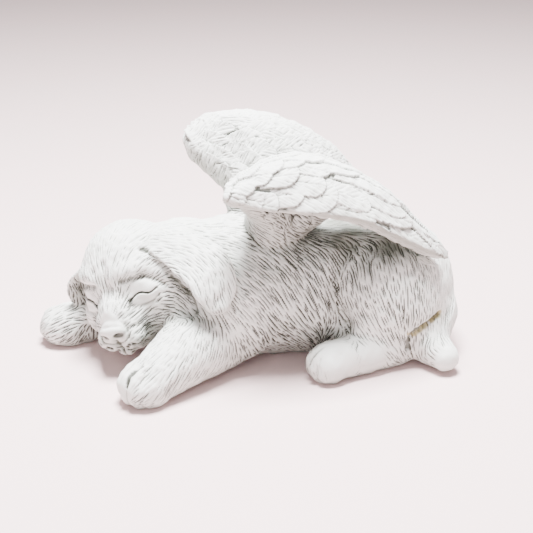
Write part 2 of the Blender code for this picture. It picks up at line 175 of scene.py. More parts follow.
masses = [ball(centre, radii) for centre, radii in TORSO.values()]
masses += [limb(joints) for joints in LIMBS.values()]
for centre, radii, heading in PAWS.values():
    masses.append(ball(centre, radii, Matrix.Rotation(math.radians(heading), 3, "Z")))
masses += head_masses(SKULL)
body = fused(joined(masses), BODY_SKIN, BODY_ROUNDS, levels=2)

# Face and ears. The nose, lips and chin stand out from the muzzle, and each ear is a thin flap
# that hangs from the side of the skull; all are cast with the head.
FACE = {
    "nose": ((0, 41, -9.8), (8.4, 5.6, 5.9)),
    "left lip": ((6, 35.5, -17.5), (8.6, 9, 8.2)),
    "right lip": ((-6, 35.5, -17.5), (8.6, 9, 8.2)),
    "chin": ((0, 35, -25.5), (6.5, 7.5, 4.8)),
}
NEAR_EAR = [((4, -65, 70), 9), ((21, -51, 70), 13), ((39, -39, 63), 14), ((48, -36, 46), 11)]
FAR_EAR = [((-26, -84, 56), 8), ((-29, -95, 45), 12), ((-30, -99, 35), 12), ((-28, -96, 24), 10)]
NEAR_EAR_SIDE = (-0.35, 0.75, 0.55)
FAR_EAR_SIDE = (0.45, -0.75, -0.45)
EAR_SLICES = 50
EAR_SLICE_HALF_LENGTH = 4
EAR_HALF_THICKNESS = 2.6
EAR_ROUND_FROM = 0.78
EAR_TIP_WIDTH = 0.6
HEADING_SPAN = 0.02


def through(points, share):
    """A smooth curve through the points, read at a share of its way from 0 to 1."""
    last = len(points) - 1
    place = min(share * last, last - 1e-9)
    first = int(place)
    rest = place - first
    around = (points[min(max(first + k, 0), last)] for k in (-1, 0, 1, 2))
    p0, p1, p2, p3 = (np.array(point, float) for point in around)
    bend = 2 * p0 - 5 * p1 + 4 * p2 - p3
    twist = 3 * p1 - p0 - 3 * p2 + p3
    return 0.5 * (2 * p1 + (p2 - p0) * rest + bend * rest ** 2 + twist * rest ** 3)


def ear(joints, side):
    """An ear flap: flattened balls strung along its middle."""
    centres = [centre for centre, _ in joints]
    widths = [(width, 0, 0) for _, width in joints]
    slices = []
    for index in range(EAR_SLICES):
        share = index / (EAR_SLICES - 1)
        ahead = through(centres, min(share + HEADING_SPAN, 1))
        along = Vector(ahead - through(centres, max(share - HEADING_SPAN, 0)))
        along.normalize()
        across = Vector(side)
        across = (across - across.dot(along) * along).normalized()
        turn = Matrix((across, along, along.cross(across))).transposed()
        past = max(share - EAR_ROUND_FROM, 0) / (1 - EAR_ROUND_FROM)
        narrowing = math.sqrt(1 - (1 - EAR_TIP_WIDTH ** 2) * past ** 2)
        half_width = through(widths, share)[0] * narrowing
        half_sizes = (half_width, EAR_SLICE_HALF_LENGTH, EAR_HALF_THICKNESS)
        slices.append(ball(through(centres, share), half_sizes, turn))
    return slices


face_and_ears = head_masses(FACE)
face_and_ears += ear(NEAR_EAR, NEAR_EAR_SIDE)
face_and_ears += ear(FAR_EAR, FAR_EAR_SIDE)

# Wings. Each is an arched blade on a short stem that grows out of the shoulders, cast with the
# back, with overlapping feathers that get longer from the wrist to the tip.
INNER_RAIL = [(9, -4, 88), (9, 14, 99), (13, 36, 99), (24, 57, 91), (37, 75, 78), (49, 90, 64)]
CREST_RAIL = [(35, -24, 111), (37, -6, 122), (37, 17, 122), (40, 40, 113), (45, 62, 98),
              (51, 92, 66)]
OUTER_RAIL = [(50, -33, 107), (57, -12, 101), (60, 12, 98), (60, 42, 91), (58, 68, 76),
              (53, 93, 62)]
WING_ARM = [((13, 2, 74), 15), ((22, -1, 90), 12), ((35, -17, 103), 8), ((47, -27, 106), 5)]
WING_WEB = [((14, 8, 78), 14), ((23, 29, 93), 11), ((31, 50, 96), 6)]
WING_THICKNESS_FRONT = 13
WING_THICKNESS_TIP = 4.5
WRIST_SHARE = 0.22
INNER_EDGE_FULLNESS = 0.35
OUTER_EDGE_DEPTH = 5.5
OUTER_EDGE_FROM = 0.8
OUTER_EDGE_SPAN = 0.2
BEHIND_WRIST_FROM = 0.15
BEHIND_WRIST_SPAN = 0.3
FAR_WING_LIFT = 7.5
FAR_WING_HINGE = 75
FAR_WING_AHEAD = 3
FAR_WRIST_SWELL = 9
FAR_WRIST = (33, 5)
FAR_WRIST_SPREAD = (17, 25)
FAR_CORNER_PULL = (-7, 8, -2)
FAR_CORNER_REACH = 13
BLADE_GRID = (130, 60)
PLATE_THICKNESS = 0.5


def blade(along, across):
    """Points of the left wing's top face, on a grid of shares along and across it."""
    rails = (INNER_RAIL, CREST_RAIL, OUTER_RAIL)
    inner, crest, outer = (np.array([through(rail, share) for share in along])[:, None, :]
                           for rail in rails)
    t = np.asarray(across)[None, :, None]
    return inner * (1 - t) * (1 - 2 * t) + crest * 4 * t * (1 - t) + outer * t * (2 * t - 1)


def side_of(points, side):
    """Left wing points, or with side -1 the right wing's, whose front is raised and rounder."""
    points = np.array(points, float)
    if side > 0:
        return points
    corner = np.exp(-((points - OUTER_RAIL[0]) ** 2).sum(axis=-1) / FAR_CORNER_REACH ** 2)
    points = points + corner[..., None] * np.array(FAR_CORNER_PULL)
    outward = points[..., 0] / OUTER_RAIL[0][0]
    raised = FAR_WING_LIFT * outward * (1 - points[..., 1] / FAR_WING_HINGE)
    beside = np.exp(-((points[..., 0] - FAR_WRIST[0]) / FAR_WRIST_SPREAD[0]) ** 2)
    before = np.clip((FAR_WRIST[1] - points[..., 1]) / FAR_WRIST_SPREAD[1], 0, 1)
    swell = FAR_WRIST_SWELL * beside * before
    ahead = points[..., 1] - FAR_WING_AHEAD - swell
    return np.stack([-points[..., 0], ahead, points[..., 2] + raised], axis=-1)


def wing_thickness(along, across):
    """Thickness of the blade: fullest at the wrist, and deeper at both long edges."""
    along = np.asarray(along)[:, None]
    across = np.asarray(across)[None, :]
    front = np.exp(-(along / WRIST_SHARE) ** 2)
    thin = WING_THICKNESS_TIP * (1 + INNER_EDGE_FULLNESS * (1 - across))
    behind_wrist = np.clip((along - BEHIND_WRIST_FROM) / BEHIND_WRIST_SPAN, 0, 1)
    beside_edge = np.clip((across - OUTER_EDGE_FROM) / OUTER_EDGE_SPAN, 0, 1)
    hem = OUTER_EDGE_DEPTH * behind_wrist * beside_edge
    return thin + hem + (WING_THICKNESS_FRONT - WING_THICKNESS_TIP) * front


def grid_normals(points):
    """Upward normals of a grid of points."""
    normals = np.cross(np.gradient(points, axis=0), np.gradient(points, axis=1))
    normals /= np.linalg.norm(normals, axis=2, keepdims=True)
    return normals * np.where(normals[..., 2:] < 0, -1, 1)


def wing_blade(side):
    """A thin plate bent over the wing's rails, with its lower face moved down to thicken it."""
    rows, columns = BLADE_GRID
    along = np.linspace(0, 1, rows)
    across = np.linspace(0, 1, columns)
    top = side_of(blade(along, across), side)
    bottom = top - grid_normals(top) * wing_thickness(along, across)[..., None]
    bpy.ops.mesh.primitive_grid_add(x_subdivisions=rows - 1, y_subdivisions=columns - 1, size=2)
    wing = bpy.context.object
    thicken = wing.modifiers.new("thicken", "SOLIDIFY")
    thicken.thickness = PLATE_THICKNESS
    thicken.offset = -1
    bpy.ops.object.modifier_apply(modifier=thicken.name)
    for vert in wing.data.vertices:
        row = round((vert.co.x + 1) / 2 * (rows - 1))
        column = round((vert.co.y + 1) / 2 * (columns - 1))
        face = top if vert.co.z > -PLATE_THICKNESS / 2 else bottom
        vert.co = Vector(face[row, column]) * STEP
    bpy.ops.object.mode_set(mode="EDIT")
    bpy.ops.mesh.select_all(action="SELECT")
    bpy.ops.mesh.normals_make_consistent(inside=False)
    bpy.ops.object.mode_set(mode="OBJECT")
    return wing


wings = [wing_blade(side) for side in (1, -1)]
for side in (1, -1):
    for joints in (WING_ARM, WING_WEB):
        places = side_of([centre for centre, _ in joints], side)
        wings.append(limb([(tuple(place), radius) for place, (_, radius) in zip(places, joints)]))

# The casting as it leaves its mould: body, face, ears and wings under one fine skin, carved with
# toes, folds, closed eyes, nostrils and whisker dots. The metres become grid steps for the carving.
FINE_SKIN = 0.57 * STEP
FINE_ROUNDS = 10
TOE_GROOVES = {-0.5: 1.1, 0: 1.6, 0.5: 1.1}
TOE_GROOVE_WIDTH = 1.5
TOE_FRONT = (-1, 6)
TOE_REACH = 1.5
TOE_SPREAD = (0.75, 0.25)
CREASES = {
    "front of near thigh":
        ([(31, 42, 68), (38, 34, 56), (42, 31, 46), (44, 32, 38), (46, 37, 28)], 3.8, 3.8),
    "near tail slit": ([(53, 89, 30), (58, 79, 26.5), (59.5, 70, 21.5), (60.5, 69, 13)], 1.3, 2.6),
    "under near ear":
        ([(9, -70, 68), (19, -65, 65), (29, -57, 58), (32, -50, 50), (37, -46, 40)], 1.5, 2.2),
    "front of far thigh": ([(-24, 36, 50), (-28, 34, 34), (-28, 38, 20)], 4.5, 2.5),
}
FACE_REACH = 56
FACE_FRONT = (8, 14)
FURROW_CUT = (2.2, 1.1)
FURROW_BEGINS = (4, 8)
FURROW_ENDS = (20, 26)
BROW_CENTRE = (16, 13.5)
BROW_HALF_SIZE = (11, 4.5)
BROW_RISE = 2.3
BROW_CREASE = [(8.8, 10.1), (12.7, 9.8), (17, 8.6), (21.7, 7.4), (27.2, 5.5), (31.7, 2.7)]
BROW_CREASE_CUT = (1.6, 2.1)
LOWER_LID = [(10.3, -1.8), (12.4, -3.8), (17.4, -5.2), (23.5, -4.0), (27.5, -1.6)]
LOWER_LID_CUT = (1.1, 0.9)
EYE_CENTRE = (19.5, 1.5)
EYE_HALF_SIZE = (10.5, 6.2)
EYE_RISE = 0.5
EYE_INNER = (11.2, -1.0)
EYE_OUTER = (27.2, 2.0)
EYE_WAVE = 1.0
EYE_BEGINS = (-0.06, 0.03)
EYE_ENDS = (0.95, 1.08)
EYE_SLIT_CUT = (0.45, 1.3)
EYE_CORNER_CUT = (0.8, 0.8)
LASH_RIDGE = (0.8, 0.45)
LASH_RIDGE_BELOW = 1.2
NEAR_PAW_SLIT = [(59.9, -79.2, 22), (60.4, -84.6, 18.9), (63.9, -88, 13)]
NEAR_PAW_SLIT_CUT = (0.75, 1.0)
PATH_REACH = 16.0
PATH_STEPS = 24
HAND_WAVES = 16
HAND_WAVE_LENGTH = (4.0, 14.0)
HAND_UNEVENNESS = 0.26
NOSE_RIM = [(0, -5.2), (4, -5.6), (7.6, -7.6), (8.9, -11.6), (8.2, -15.0), (4.6, -16.8),
            (0.4, -18.6)]
NOSE_RIM_CUT = (0.8, 0.9)
NOSE_FRONT = (36, 39)
LIP_SPLIT_CUT = (0.75, 1.6)
LIP_SPLIT_TOP = (-15.5, -14)
NOSTRIL = (4.3, -11.7)
NOSTRIL_STRETCH = 1.3
NOSTRIL_CUT = (1.5, 3.0)
NOSTRIL_FRONT = (39, 41)
WHISKERS = ((7.0, -19.4), (7.7, -23.7), (3.4, -23.6), (4.4, -27.2), (9.4, -20.2), (5.2, -20.6))
WHISKER_CUT = (0.85, 1.5)
WHISKER_FRONT = (33, 35)


def groove(distance, width, depth):
    """Depth of a soft groove at a distance from its line."""
    return depth * np.exp(-(distance / width) ** 2)


def ramp(value, low, high):
    """Smooth step from 0 at low to 1 at high."""
    share = np.clip((value - low) / (high - low), 0, 1)
    return share * share * (3 - 2 * share)


def mesh_points(mesh):
    """Places of a mesh's vertices in grid steps, and their normals."""
    points = np.empty(len(mesh.vertices) * 3)
    mesh.vertices.foreach_get("co", points)
    normals = np.empty(len(mesh.vertices) * 3, np.float32)
    mesh.vertex_normals.foreach_get("vector", normals)
    return points.reshape(-1, 3) / STEP, normals.reshape(-1, 3).astype(float)


def push(mesh, points, normals, relief):
    """Move a mesh's vertices along their normals, and keep the underside flat."""
    moved = points + normals * relief[:, None]
    moved[:, 2] = np.maximum(moved[:, 2], 0)
    mesh.vertices.foreach_set("co", (moved * STEP).ravel())
    mesh.update()


def path_distance(points, path, snapped=False):
    """Distance of each place from the curve through a path, or from its mark on the surface."""
    line = np.array([through(path, share) for share in np.linspace(0, 1, PATH_STEPS)])
    if snapped:
        line = np.array([points[((points - place) ** 2).sum(axis=1).argmin()] for place in line])
    distance = np.full(len(points), PATH_REACH)
    past_low = points > line.min(axis=0) - PATH_REACH
    before_high = points < line.max(axis=0) + PATH_REACH
    beside = (past_low & before_high).all(axis=1)
    close = points[beside]
    nearest = distance[beside]
    for start, end in zip(line, line[1:]):
        along = end - start
        share = np.clip((close - start) @ along / max(along @ along, 1e-9), 0, 1)
        gap = np.linalg.norm(close - start - share[:, None] * along, axis=1)
        nearest = np.minimum(nearest, gap)
    distance[beside] = nearest
    return distance


def handwork(points):
    """Faint unevenness of a surface that was modelled by hand."""
    rng = np.random.default_rng(2)
    uneven = np.zeros(len(points))
    for _ in range(HAND_WAVES):
        way = rng.normal(size=3)
        way *= 2 * math.pi / (np.linalg.norm(way) * rng.uniform(*HAND_WAVE_LENGTH))
        uneven += np.sin(points @ way + rng.uniform(0, 6))
    return uneven * HAND_UNEVENNESS / HAND_WAVES ** 0.5


def toe_relief(points):
    """Three grooves between the four toes of each paw."""
    relief = np.zeros(len(points))
    for centre, radii, heading in PAWS.values():
        angle = math.radians(heading)
        offset = points - np.array(centre)
        aside = offset[:, 0] * math.cos(angle) + offset[:, 1] * math.sin(angle)
        ahead = offset[:, 0] * math.sin(angle) - offset[:, 1] * math.cos(angle)
        reach = np.linalg.norm(offset / np.array(radii), axis=1) < TOE_REACH
        front = ramp(ahead, *TOE_FRONT) * reach
        for line, depth in TOE_GROOVES.items():
            lean = line * radii[0] * (TOE_SPREAD[0] + TOE_SPREAD[1] * ahead / radii[1])
            relief -= groove(aside - lean, TOE_GROOVE_WIDTH, depth) * front
    return relief


def head_local(points):
    """Places in the head's own frame: to its left, forward and up."""
    local = (points - HEAD_CENTRE) @ np.array(HEAD_FRAME)
    return local[:, 0], -local[:, 1], local[:, 2]


def oval(side, above, centre, half_size):
    """Distance from the middle of an oval drawn on the face, with 1 at its edge."""
    return np.hypot((side - centre[0]) / half_size[0], (above - centre[1]) / half_size[1])


def closed_eye(side, above):
    """The wavy slit of a closed eye: its height at each place, and where it is drawn."""
    across = (side - EYE_INNER[0]) / (EYE_OUTER[0] - EYE_INNER[0])
    rise = EYE_INNER[1] + across * (EYE_OUTER[1] - EYE_INNER[1])
    slit = rise + EYE_WAVE * np.sin(2 * math.pi * across)
    return slit, ramp(across, *EYE_BEGINS) * (1 - ramp(across, *EYE_ENDS))


def face_relief(points):
    """Brows, lids, furrow, nose and lips, and the fine cuts: eyes, nostrils, whisker dots."""
    aside, ahead, above = head_local(points)
    side = np.abs(aside)
    near = (np.linalg.norm(points - HEAD_CENTRE, axis=1) < FACE_REACH) * ramp(ahead, *FACE_FRONT)
    relief = -groove(aside, *FURROW_CUT)
    relief = relief * ramp(above, *FURROW_BEGINS) * (1 - ramp(above, *FURROW_ENDS))
    relief += BROW_RISE * np.exp(-oval(side, above, BROW_CENTRE, BROW_HALF_SIZE) ** 2)
    relief += EYE_RISE * np.clip(1 - oval(side, above, EYE_CENTRE, EYE_HALF_SIZE) ** 2, 0, 1)
    drawn = np.stack([side, above], axis=1)
    relief -= groove(path_distance(drawn, BROW_CREASE), *BROW_CREASE_CUT)
    relief -= groove(path_distance(drawn, LOWER_LID), *LOWER_LID_CUT)
    slit, open_part = closed_eye(side, above)
    cut = groove(above - slit, *EYE_SLIT_CUT) * open_part
    cut += groove(np.hypot(side - EYE_INNER[0], above - EYE_INNER[1]), *EYE_CORNER_CUT)
    relief += groove(above - slit + LASH_RIDGE_BELOW, *LASH_RIDGE) * open_part
    relief -= groove(path_distance(drawn, NOSE_RIM), *NOSE_RIM_CUT) * ramp(ahead, *NOSE_FRONT)
    below_nose = ramp(ahead, *NOSE_FRONT) * (1 - ramp(above, *LIP_SPLIT_TOP))
    relief -= groove(aside, *LIP_SPLIT_CUT) * below_nose
    nostril = np.hypot((side - NOSTRIL[0]) / NOSTRIL_STRETCH, above - NOSTRIL[1])
    cut += groove(nostril, *NOSTRIL_CUT) * ramp(ahead, *NOSTRIL_FRONT)
    for dot_aside, dot_above in WHISKERS:
        dot = np.hypot(side - dot_aside, above - dot_above)
        cut += groove(dot, *WHISKER_CUT) * ramp(ahead, *WHISKER_FRONT)
    return (relief - cut) * near, cut * near


statue = joined([body, *face_and_ears, *wings])
statue.name = "puppy_casting"
fused(statue, FINE_SKIN, FINE_ROUNDS)
points, normals = mesh_points(statue.data)
face, cuts = face_relief(points)
relief = toe_relief(points) + face
paw_slit = groove(path_distance(points, NEAR_PAW_SLIT, snapped=True), *NEAR_PAW_SLIT_CUT)
relief -= paw_slit
cuts += paw_slit
for path, width, depth in CREASES.values():
    relief -= groove(path_distance(points, path, snapped=True), width, depth)
relief += handwork(points)

# Feathers, cut into the blades while the casting's model was wet: rounded scales in seven rows,
# each with a shaft down its middle, lapping over the next like roof tiles.
FEATHER_TIERS = 7
FIRST_FEATHER = 5.8
FEATHER_GROWTH = 1.22
FEATHER_OVERLAP = 1.75
FEATHER_RELIEF = 3.2
FEATHER_LEAN = 0.35
FEATHER_HALF_WIDTH = 0.62
FEATHER_ROUND_FROM = 0.72
FIRST_TIER_AT = 0.55
TIER_STARTS = (0.35, 0.5)
FEATHER_ROOT_HEIGHT = 0.15
FEATHER_TIP_RISE = 0.5
FEATHER_SIDE_RISE = 0.3
UNEVEN_WIDTH = 0.2
UNEVEN_PLACE = 0.03
UNEVEN_HEADING = 0.14
UNEVEN_REACH = 0.16
UNEVEN_RISE = 0.06
UNEVEN_STEP = 0.18
SHAFT_CUT = (0.35, 0.12)
SHAFT_BEGINS = (0.1, 0.3)
BARB_SPREAD = 0.55
WING_SAMPLES = (180, 90)
WINGS_ASIDE = 6
WINGS_ABOVE = 50
WINGS_BEHIND = -45
CREST_SAMPLES = 20
BLADE_MARGIN = 1.6
BLADE_FACING = (0.2, 0.6)
SAMPLE_SLACK = 0.6
STEM_FEATHERS = [((31, 4, 84), 6), ((30, 15, 83), 5.5), ((36, -3, 90), 5), ((37, 9, 91), 5),
                 ((38, 20, 90), 5)]
STEM_FEATHER_RISE = 0.7
STEM_FEATHER_LAP = 0.25
STEM_FEATHER_SLOPE = 0.4
STEM_FEATHER_EDGE = (0.88, 1.0)


def feather_coat(along, across, width, length):
    """Height of the overlapping feathers, and how far each place is aside from its shaft."""
    height = np.zeros(len(along))
    beside = np.zeros(len(along))
    rng = np.random.default_rng(5)
    for tier in range(FEATHER_TIERS):
        middle = (tier + FIRST_TIER_AT) / FEATHER_TIERS
        start = -FIRST_FEATHER * (TIER_STARTS[0] + TIER_STARTS[1] * (tier % 2))
        step = FIRST_FEATHER
        while start < length:
            own_width, own_reach, own_turn, own_rise = rng.uniform(-1, 1, 4)
            half_width = FEATHER_HALF_WIDTH * (1 + UNEVEN_WIDTH * own_width) * width / FEATHER_TIERS
            turned = UNEVEN_HEADING * own_turn * (along - start)
            aside = (across - middle - UNEVEN_PLACE * own_turn) * width - turned
            reach = step * (FEATHER_OVERLAP + UNEVEN_REACH * own_reach)
            share = (along - start + FEATHER_LEAN * aside) / reach
            past = np.clip((share - FEATHER_ROUND_FROM) / (1 - FEATHER_ROUND_FROM), 0, 1)
            edge = half_width * np.sqrt(1 - past ** 2)
            inside = (share > 0) * (share < 1) * (np.abs(aside) < edge)
            sideways = FEATHER_SIDE_RISE * (aside / half_width + 1) / 2
            slope = FEATHER_ROOT_HEIGHT + FEATHER_TIP_RISE * share + sideways
            slope = slope + UNEVEN_RISE * own_rise
            slope = slope - groove(aside, *SHAFT_CUT) * ramp(share, *SHAFT_BEGINS)
            own = inside * slope
            beside = np.where(own > height, aside / half_width, beside)
            height = np.maximum(height, own)
            start += step * (1 + UNEVEN_STEP * own_rise)
            step *= FEATHER_GROWTH
    return height, beside


def on_wings(points, normals):
    """Feather height, share of each place that is blade, and the way its barbs run."""
    along = np.linspace(0, 1, WING_SAMPLES[0])
    across = np.linspace(0, 1, WING_SAMPLES[1])
    crest = np.array([through(CREST_RAIL, share) for share in np.linspace(0, 1, CREST_SAMPLES)])
    length = float(np.linalg.norm(np.diff(crest, axis=0), axis=1).sum())
    height = np.zeros(len(points))
    bladed = np.zeros(len(points))
    barbs = np.zeros((len(points), 3))
    for side in (1, -1):
        top = side_of(blade(along, across), side)
        upward = grid_normals(top).reshape(-1, 3)
        thickness = wing_thickness(along, across).reshape(-1)
        widths = np.linalg.norm(np.diff(top, axis=1), axis=2).sum(axis=1)
        middle = top.reshape(-1, 3) - upward * thickness[:, None] / 2
        tree = KDTree(len(middle))
        for index, place in enumerate(middle):
            tree.insert(place, index)
        tree.balance()
        aside, behind, above = points[:, 0] * side, points[:, 1], points[:, 2]
        within = (aside > WINGS_ASIDE) & (above > WINGS_ABOVE) & (behind > WINGS_BEHIND)
        reach = np.flatnonzero(within)
        found = [tree.find(place) for place in points[reach]]
        nearest = np.array([hit[1] for hit in found])
        distance = np.array([hit[2] for hit in found])
        on_blade = distance < thickness[nearest] / 2 + BLADE_MARGIN
        row, column = np.divmod(nearest, WING_SAMPLES[1])
        gap = points[reach] - middle[nearest]
        down = np.gradient(top, axis=0).reshape(-1, 3)[nearest]
        over = np.gradient(top, axis=1).reshape(-1, 3)[nearest]
        row_rest = (gap * down).sum(1) / (down * down).sum(1)
        column_rest = (gap * over).sum(1) / (over * over).sum(1)
        row = row + np.clip(row_rest, -SAMPLE_SLACK, SAMPLE_SLACK)
        column = column + np.clip(column_rest, -SAMPLE_SLACK, SAMPLE_SLACK)
        share = row / (WING_SAMPLES[0] - 1)
        width = np.interp(share, along, widths)
        column_share = column / (WING_SAMPLES[1] - 1)
        coat, beside = feather_coat(share * length, column_share, width, length)
        facing = ramp(np.abs((normals[reach] * upward[nearest]).sum(1)), *BLADE_FACING)
        height[reach] += FEATHER_RELIEF * (coat - 0.5) * on_blade * facing
        bladed[reach] = np.maximum(bladed[reach], on_blade)
        down = down / np.linalg.norm(down, axis=1, keepdims=True)
        over = over / np.linalg.norm(over, axis=1, keepdims=True)
        barbs[reach] = down + over * np.sign(beside)[:, None] * BARB_SPREAD
    return height, bladed, barbs


def stem_relief(points):
    """Round feathers on the near wing's stem, each lapping over the next."""
    height = np.zeros(len(points))
    for number, (place, radius) in enumerate(STEM_FEATHERS):
        share = np.linalg.norm(points - np.array(place), axis=1) / radius
        rise = STEM_FEATHER_RISE + STEM_FEATHER_LAP * (number % 3) + STEM_FEATHER_SLOPE * share
        height = np.maximum(height, rise * (1 - ramp(share, *STEM_FEATHER_EDGE)))
    return height


feathers, bladed, barbs = on_wings(points, normals)
feathers += stem_relief(points) * (1 - bladed)
push(statue.data, points, normals, relief + feathers)

# Fur, tooled stroke by stroke over the casting's model. The strokes follow the lie of the coat,
# keep an even distance and fade on the nose, lids, toes, hind foot and the tip of the tail.
STROKE_GAP_FUR = 1.25
STROKE_GAP_HEAD = 1.15
STROKE_GAP_WING = 1.35
STROKE_LENGTH = (5.0, 20.0)
STROKE_PACE = 0.7
STROKE_DEPTH_FUR = 1.1
STROKE_DEPTH_WING = 0.42
STROKE_DEPTH_FAR_WING = 0.62
STROKE_WIDTH = 0.4
STROKE_STRENGTH = (0.55, 1.15)
STROKE_SWAY = 0.12
SWAY_PACE = 0.01
SURFACE_PULL = 0.5
TAPER_ENDS = (0.7, 0.4)
TAPER_POWER = 0.6
MIDDLING_PRESS = 0.8
STROKE_SEEDS = 100000
FEWEST_SAMPLES = 4
CROWDING_CELL = 2.5
CLOSING_IN = 0.55
BARE_SHARE = 0.15
STOP_SHARE = 0.1
HEAD_BEFORE = -50
HEAD_ABOVE = 24
THIGH = ((45, 66, 34), (24, 32, 36))
THIGH_EDGE = (-1.15, -0.95)
HEEL = np.array((61, 76, 0))
HEELWARD_PULL = 0.75
DOWNWARD_PULL = np.array((0, 0, -0.45))
LIE_SOFTNESS = 30
DEEPER_BY = 0.45
LIGHTER_BY = -0.2
DEEPER_STROKES = [
    ((34, 20, 66), 26), ((44, 18, 36), 24), ((36, -2, 22), 20), ((30, 34, 62), 20),
    ((22, 8, 78), 18), ((20, 48, 72), 16), ((30, -66, 34), 16), ((34, -60, 46), 12),
    ((-20, -108, 10), 20), ((56, 66, 40), 14), ((-36, 10, 50), 30),
]
LIGHTER_STROKES = [
    ((-11, -73, 72), 34), ((50, -70, 20), 24), ((20, -45, 76), 22), ((34, -30, 50), 20),
    ((40, 96, 44), 24),
]
BODY_LIE = [
    ((15, -25, 75), (0.25, 0.8, -0.35)), ((40, -20, 45), (0, 0.6, -0.8)),
    ((25, 5, 70), (0.5, 0.55, -0.6)), ((42, 10, 45), (0.1, 0.45, -0.9)),
    ((45, 30, 50), (0.1, 0.35, -0.95)), ((43, 12, 18), (0, 0.6, -0.75)),
    ((44, 36, 16), (0, -0.5, -0.8)), ((15, -55, 70), (0.3, 0.9, -0.3)),
    ((35, -45, 45), (0.2, 0.7, -0.7)), ((45, -50, 28), (0.2, -0.5, -0.85)),
    ((60, -62, 14), (0, -0.6, -0.75)), ((56, -80, 14), (0.4, -0.7, -0.5)),
    ((0, 20, 78), (0, 1, -0.05)), ((10, 70, 78), (0.1, 1, -0.3)),
    ((18, 108, 45), (0.2, 0.2, -1)), ((40, 100, 45), (0.25, -0.3, -0.9)),
    ((0, -58, 20), (0, -0.3, -1)), ((-2, -30, 84), (0, 1, 0)),
    ((-40, -20, 45), (0, 0.6, -0.8)), ((-42, 10, 45), (-0.1, 0.45, -0.9)),
    ((-30, 30, 50), (-0.1, 0.4, -0.9)), ((-30, 60, 30), (-0.1, -0.2, -0.95)),
    ((-30, -70, 22), (0, -0.9, -0.3)), ((-29, -108, 18), (0.1, -0.95, -0.4)),
    ((-5, 105, 40), (-0.2, 0.2, -1)), ((37, 94, 34), (0.8, -0.5, -0.4)),
    ((60, 88, 12), (0.9, 0.2, -0.3)),
]
HEAD_LIE = [
    ((0, 28, 15), (0, -0.5, 0.85)), ((14, 22, 18), (0.45, -0.5, 0.75)),
    ((0, 0, 30), (0, -1, 0)), ((15, 0, 26), (0.3, -0.95, 0)),
    ((0, -28, 8), (0, -0.5, -0.85)), ((24, 16, 9), (0.6, -0.75, 0.1)),
    ((20, 20, -12), (0.5, -0.85, -0.05)), ((28, 5, -12), (0.2, -0.97, -0.1)),
    ((28, 4, 5), (0.2, -1, 0)), ((12, 20, -28), (0.2, -0.9, -0.3)),
    ((15, 32, -15), (0.5, -0.8, 0.1)),
]
SMOOTH_BODY = [((57, -86, 12), 11), ((58, 26, 10), 14), ((58, 46, 10), 10), ((70, 88, 9), 8),
               ((-29, -118, 10), 6), ((-25, 30, 10), 13)]
SMOOTH_HEAD = [((0, 43, -11), 9), ((0, 40, -4), 5), ((19, 27, 1), 8), ((-19, 27, 1), 8)]
SMOOTH_EDGE = (0.75, 1.2)
COAT_FOOT = (0.8, 3)
GROUND_FACING = (-0.95, -0.6)


def lie_guides():
    """Places and directions that show which way the coat lies."""
    places = [place for place, _ in BODY_LIE]
    ways = [way for _, way in BODY_LIE]
    for (aside, ahead, above), (out, onward, upward) in HEAD_LIE:
        for side in (1, -1) if aside else (1,):
            places.append(tuple(head_place(side * aside, ahead, above)))
            ways.append(tuple(HEAD_FRAME @ Vector((side * out, -onward, upward))))
    for joints in (NEAR_EAR, FAR_EAR):
        for (start, _), (end, _) in zip(joints, joints[1:]):
            places.append(tuple((np.array(start) + np.array(end)) / 2))
            ways.append(tuple(np.array(end) - np.array(start)))
    ways = np.array(ways, float)
    return np.array(places, float), ways / np.linalg.norm(ways, axis=1, keepdims=True)


def coat_lie(points, normals, bladed, barbs):
    """The way the strokes run at each place, along the surface."""
    places, ways = lie_guides()
    lie = np.zeros_like(points)
    for place, way in zip(places, ways):
        spread = ((points - place) ** 2).sum(1) + LIE_SOFTNESS
        lie += way / (spread ** 2)[:, None]
    lie /= np.linalg.norm(lie, axis=1, keepdims=True)
    thigh = ramp(-np.linalg.norm((points - THIGH[0]) / THIGH[1], axis=1), *THIGH_EDGE)
    heelward = HEEL - points
    heelward /= np.linalg.norm(heelward, axis=1, keepdims=True)
    heelward = HEELWARD_PULL * heelward + DOWNWARD_PULL
    lie = lie * (1 - thigh[:, None]) + heelward * thigh[:, None]
    lie = np.where(bladed[:, None] > 0, barbs, lie)
    lie -= normals * (lie * normals).sum(1, keepdims=True)
    return lie / np.maximum(np.linalg.norm(lie, axis=1, keepdims=True), 1e-6)


def furred(points, normals):
    """Share of full depth that the strokes have at each place."""
    off_ground = ramp(normals[:, 2], *GROUND_FACING)
    share = ramp(points[:, 2], *COAT_FOOT) * np.maximum(off_ground, points[:, 2] > WINGS_ABOVE)
    on_head = [(tuple(head_place(*place)), radius) for place, radius in SMOOTH_HEAD]
    for place, radius in SMOOTH_BODY + on_head:
        distance = np.linalg.norm(points - np.array(place), axis=1)
        share = share * ramp(distance, radius * SMOOTH_EDGE[0], radius * SMOOTH_EDGE[1])
    return share


